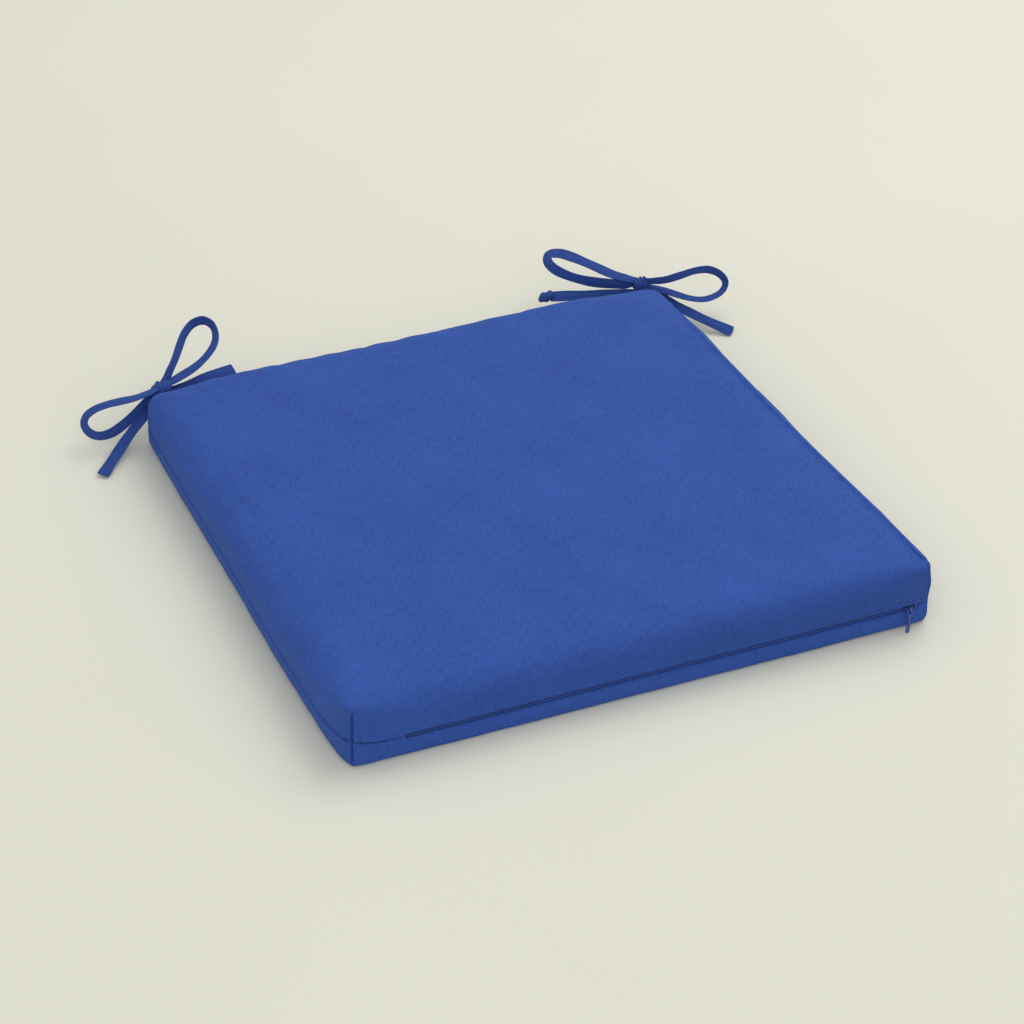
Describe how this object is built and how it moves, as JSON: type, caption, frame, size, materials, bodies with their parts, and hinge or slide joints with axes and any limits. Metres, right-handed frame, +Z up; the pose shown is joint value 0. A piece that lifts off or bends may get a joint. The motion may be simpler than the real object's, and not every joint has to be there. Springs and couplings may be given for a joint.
{
  "type": "chair seat pad",
  "caption": "Square boxed-corner foam seat pad in a woven cover, with a coil zip in the front seam and a tie strip in a bow at each back corner.",
  "frame": {"origin": "under the middle of the cushion, on the surface that it lies on", "axes": "+Z up through the cushion's thickness, -Y towards the front seam with the zip, +X towards the zip's closed end"},
  "size_m": [0.5324, 0.5052, 0.0574],
  "materials": {
    "cover_fabric": "fine twill weave, royal blue, matt",
    "tie_fabric": "the cover's fabric, folded and stitched into a narrow strip",
    "foam": "open-cell polyurethane foam, cream",
    "wadding": "loose polyester fibre, white",
    "zip_tape": "woven polyester tape, dark blue",
    "zip_coil": "nylon coil, dark blue, slight sheen",
    "zip_metal": "blue enamel, semi-gloss"
  },
  "bodies": {
    "cushion": {"cover_top": "cover_fabric", "cover_bottom": "cover_fabric", "foam_core": "foam", "wadding_top": "wadding", "wadding_bottom": "wadding", "zip_tape_upper": "zip_tape", "zip_tape_lower": "zip_tape", "zip_coil_upper": "zip_coil", "zip_coil_lower": "zip_coil", "zip_top_stop_upper": "zip_metal", "zip_top_stop_lower": "zip_metal", "zip_bottom_stop": "zip_metal", "left_knot": "tie_fabric", "left_front_stem": "tie_fabric", "left_front_loop": "tie_fabric", "left_front_tail": "tie_fabric", "left_rear_stem": "tie_fabric", "left_rear_loop": "tie_fabric", "left_rear_tail": "tie_fabric", "right_knot": "tie_fabric", "right_inner_stem": "tie_fabric", "right_inner_loop": "tie_fabric", "right_inner_tail": "tie_fabric", "right_inner_end_knot": "tie_fabric", "right_outer_stem": "tie_fabric", "right_outer_loop": "tie_fabric", "right_outer_tail": "tie_fabric"},
    "slider": {"zip_slider": "zip_metal"},
    "pull": {"zip_pull": "zip_metal"}
  },
  "joints": [
    {"name": "zip_slide", "type": "slide", "parent": "cushion", "child": "slider", "axis": [1, 0, 0], "range_m": [-0.375, 0]},
    {"name": "pull_swing", "type": "hinge", "parent": "slider", "child": "pull", "pos_m": [0.2025, -0.2184, 0.016], "axis": [-1, 0, 0], "range_deg": [-24, 140]}
  ]
}
